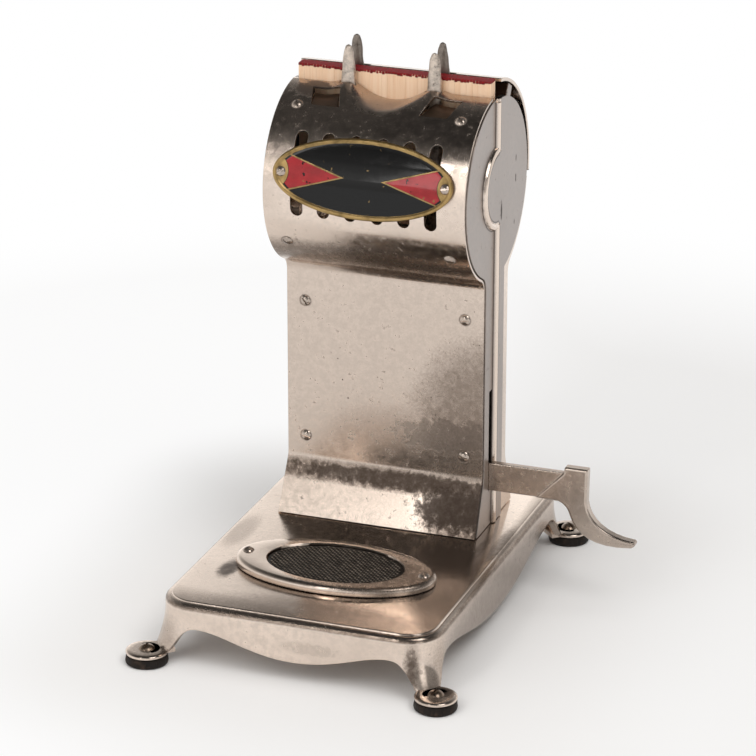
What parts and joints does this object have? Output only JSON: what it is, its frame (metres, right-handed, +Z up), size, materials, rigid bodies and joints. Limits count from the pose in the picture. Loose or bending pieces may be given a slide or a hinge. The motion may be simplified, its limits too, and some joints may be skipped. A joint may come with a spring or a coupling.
{
  "type": "match dispenser",
  "caption": "Counter match dispenser: a footed base with an oval striker, and a hollow column whose drum holds a comb of matches that a side lever lifts on two forks.",
  "frame": {"origin": "on the floor, under the middle of the overall box, lever included", "axes": "+Z up, the longest way; +X to the right towards the lever; +Y to the back, away from the striker"},
  "size_m": [0.1446, 0.1574, 0.1885],
  "materials": {
    "nickel_plate": "worn nickel plating",
    "dark_nickel": "dull and tarnished",
    "plain_steel": "plain mill finish",
    "rough_cast": "rough cast, frosted",
    "plate_brass": "worn brass with a painted field",
    "foot_rubber": "matt black",
    "match_wood": "bare split wood, dark red heads"
  },
  "bodies": {
    "dispenser": {"base_casting": "nickel_plate", "rubber_foot_front_left": "foot_rubber", "foot_screw_front_left": "dark_nickel", "rubber_foot_front_right": "foot_rubber", "foot_screw_front_right": "dark_nickel", "rubber_foot_rear_left": "foot_rubber", "foot_screw_rear_left": "dark_nickel", "rubber_foot_rear_right": "foot_rubber", "foot_screw_rear_right": "dark_nickel", "striker_frame": "nickel_plate", "striker_pad": "dark_nickel", "striker_screw_left": "nickel_plate", "striker_screw_right": "nickel_plate", "side_casting_left": "nickel_plate", "side_casting_right": "nickel_plate", "front_cover": "nickel_plate", "rear_cover": "nickel_plate", "lid_hinge_pin": "plain_steel", "name_plate": "plate_brass", "plate_screw_left": "nickel_plate", "plate_screw_right": "nickel_plate", "drum_screw_upper_left": "nickel_plate", "drum_screw_upper_right": "nickel_plate", "drum_screw_lower_left": "nickel_plate", "drum_screw_lower_right": "nickel_plate", "column_screw_upper_left": "nickel_plate", "rear_screw_upper_left": "nickel_plate", "column_screw_upper_right": "nickel_plate", "rear_screw_upper_right": "nickel_plate", "column_screw_lower_left": "nickel_plate", "rear_screw_lower_left": "nickel_plate", "column_screw_lower_right": "nickel_plate", "rear_screw_lower_right": "nickel_plate", "base_screw_front_left": "plain_steel", "base_screw_front_right": "plain_steel", "base_screw_rear_left": "plain_steel", "base_screw_rear_right": "plain_steel", "pivot_bracket": "plain_steel", "pivot_pin": "plain_steel", "bracket_screw_1": "plain_steel", "bracket_screw_2": "plain_steel"},
    "lever": {"lever": "nickel_plate", "drive_pin": "plain_steel"},
    "lifter": {"lifter_plate": "plain_steel", "fork_yoke": "plain_steel", "fork_left": "rough_cast", "fork_right": "rough_cast", "yoke_rivet_left": "plain_steel", "yoke_rivet_right": "plain_steel"},
    "match_comb": {"match_comb": "match_wood"},
    "rear_lid": {"rear_lid": "nickel_plate"}
  },
  "joints": [
    {"name": "lever_turn", "type": "hinge", "parent": "dispenser", "child": "lever", "pos_m": [-0.0131, 0.0256, 0.0404], "axis": [0, -1, 0], "range_deg": [0, 35]},
    {"name": "lifter_slide", "type": "slide", "parent": "dispenser", "child": "lifter", "axis": [0, 0, -1], "range_m": [0, 0.01435]},
    {"name": "comb_lift_out", "type": "slide", "parent": "lifter", "child": "match_comb", "axis": [0, 0, 1], "range_m": [0, 0.06]},
    {"name": "lid_turn", "type": "hinge", "parent": "dispenser", "child": "rear_lid", "pos_m": [-0.0151, 0.0639, 0.1366], "axis": [-1, 0, 0], "range_deg": [0, 75]}
  ],
  "couplings": [
    {"joint": "lever_turn", "follows": "lifter_slide", "rad_per_m": 42.56}
  ]
}
